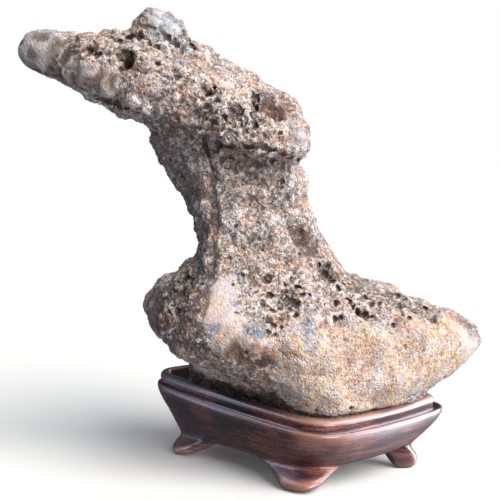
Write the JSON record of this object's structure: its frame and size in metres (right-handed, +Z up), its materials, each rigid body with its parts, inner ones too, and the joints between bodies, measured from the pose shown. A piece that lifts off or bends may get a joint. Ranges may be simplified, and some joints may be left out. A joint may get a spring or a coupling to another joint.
{
  "type": "suiseki",
  "caption": "Natural overhanging viewing stone with a broad foot, a slanting neck and a long pointed head, seated in a carved hardwood stand with an upturned lip and short feet.",
  "frame": {"origin": "middle of the bounding box, on the surface that the stand's feet rest on", "axes": "+Z up, +X to the right as seen from the front, away from the pointed head, +Y from the front to the back, the object's shallowest direction"},
  "size_m": [0.2332, 0.1294, 0.2353],
  "materials": {
    "stone": "rough, granular and pitted, matte",
    "daiza": "dark oiled hardwood, satin to glossy"
  },
  "bodies": {
    "root": {"stone": "stone", "daiza": "daiza"}
  },
  "joints": []
}
